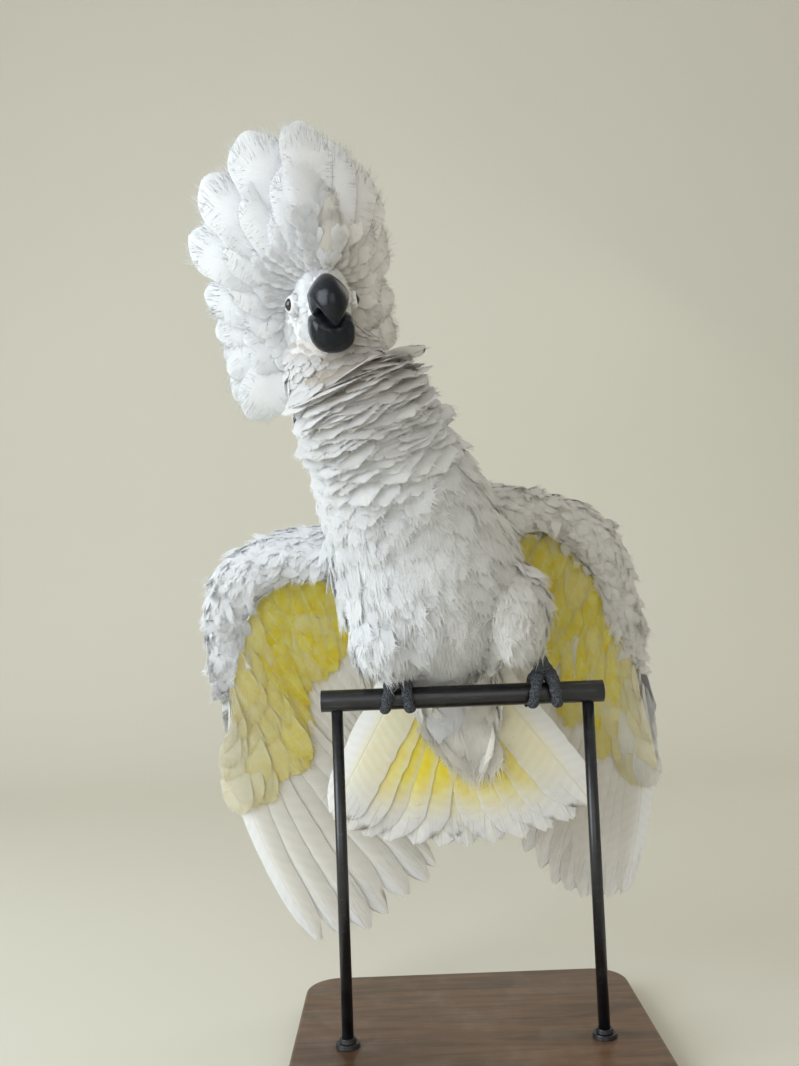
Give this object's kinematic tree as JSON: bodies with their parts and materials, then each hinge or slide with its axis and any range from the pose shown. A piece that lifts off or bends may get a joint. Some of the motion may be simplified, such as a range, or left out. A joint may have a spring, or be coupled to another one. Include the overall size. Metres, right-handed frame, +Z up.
{
  "type": "white cockatoo",
  "caption": "Life-size white cockatoo with raised crest, yellow under-wings and half-open wings, gripping a short perch on a plain stand.",
  "frame": {"origin": "centre of the front-to-back perch line on the underside of the stand's base, directly below the middle of the perch", "axes": "+Z up; the bird faces -Y; its right wing is on -X"},
  "size_m": [0.3375, 0.2736, 0.6198],
  "materials": {
    "feather_white": "soft matt contour feathers, white",
    "feather_flight": "satin flight and tail feathers, white with lemon yellow inner webs",
    "bill_horn": "black horn with a soft powdered shine",
    "eye": "wet black eye",
    "foot_skin": "dark grey granular scales",
    "claw_horn": "black claw horn, satin",
    "stand_metal": "black satin enamel on steel tube",
    "stand_wood": "dark stained hardwood, satin varnish"
  },
  "bodies": {
    "root": {"head": "feather_white", "crest": "feather_white", "neck": "feather_white", "trunk": "feather_white", "wing_arm_right": "feather_white", "wing_arm_left": "feather_white", "wing_hand_right": "feather_white", "wing_hand_left": "feather_white", "thigh_right": "feather_white", "thigh_left": "feather_white", "primaries_right": "feather_flight", "primaries_left": "feather_flight", "secondaries_right": "feather_flight", "secondaries_left": "feather_flight", "tail": "feather_flight", "tail_base": "feather_flight", "upper_bill": "bill_horn", "lower_bill": "bill_horn", "eye_right": "eye", "foot_right": "foot_skin", "claw_right_1": "claw_horn", "claw_right_2": "claw_horn", "claw_right_3": "claw_horn", "claw_right_4": "claw_horn", "eye_left": "eye", "foot_left": "foot_skin", "claw_left_1": "claw_horn", "claw_left_2": "claw_horn", "claw_left_3": "claw_horn", "claw_left_4": "claw_horn", "stand_perch": "stand_metal", "stand_rod_right": "stand_metal", "stand_rod_left": "stand_metal", "stand_base": "stand_wood"}
  },
  "joints": []
}
